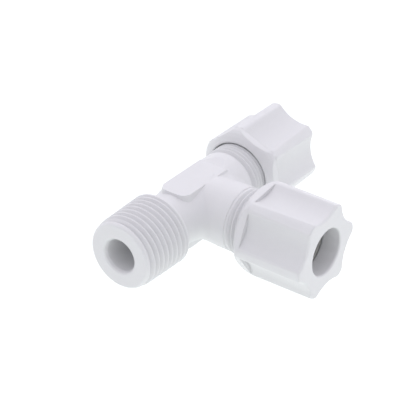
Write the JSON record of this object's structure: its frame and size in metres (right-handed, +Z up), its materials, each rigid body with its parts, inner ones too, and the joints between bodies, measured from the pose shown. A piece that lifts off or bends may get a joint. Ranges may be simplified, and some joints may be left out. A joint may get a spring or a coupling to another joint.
{
  "type": "pipe tee fitting",
  "caption": "White plastic male run tee for tube: tapered pipe thread on the run, compression ports with fluted screw nuts on the other run end and the branch.",
  "frame": {"origin": "crossing of the run and branch centre-lines, inside the tee body", "axes": "+X along the run towards the run nut (pipe thread at -X), -Y along the branch towards the branch nut, +Z up, square to the wrench flats"},
  "size_m": [0.0761, 0.0554, 0.0266],
  "materials": {
    "white_body": "satin moulded white polypropylene",
    "white_nut": "satin moulded white polypropylene",
    "grip_plastic": "hard acetal, slightly greyer than the nuts",
    "sleeve_plastic": "satin white",
    "seal_rubber": "dull black elastomer"
  },
  "bodies": {
    "body": {"tee_body": "white_body", "run_o_ring": "seal_rubber", "branch_o_ring": "seal_rubber"},
    "run_follower": {"run_grip_ring": "grip_plastic", "run_sleeve": "sleeve_plastic"},
    "run_nut_body": {"run_nut": "white_nut"},
    "branch_follower": {"branch_grip_ring": "grip_plastic", "branch_sleeve": "sleeve_plastic"},
    "branch_nut_body": {"branch_nut": "white_nut"}
  },
  "joints": [
    {"name": "run_nut_travel", "type": "slide", "parent": "body", "child": "run_follower", "axis": [1, 0, 0], "range_m": [-0.00191, 0.00476]},
    {"name": "run_nut_turn", "type": "hinge", "parent": "run_follower", "child": "run_nut_body", "pos_m": [0.0195, 0, 0], "axis": [1, 0, 0], "range_deg": [-540, 1350]},
    {"name": "branch_nut_travel", "type": "slide", "parent": "body", "child": "branch_follower", "axis": [0, -1, 0], "range_m": [-0.00064, 0.00603]},
    {"name": "branch_nut_turn", "type": "hinge", "parent": "branch_follower", "child": "branch_nut_body", "pos_m": [0, -0.02, 0], "axis": [0, -1, 0], "range_deg": [-180, 1710]}
  ],
  "couplings": [
    {"joint": "run_nut_travel", "follows": "run_nut_turn", "m_per_rad": 0.00020213},
    {"joint": "branch_nut_travel", "follows": "branch_nut_turn", "m_per_rad": 0.00020213}
  ]
}
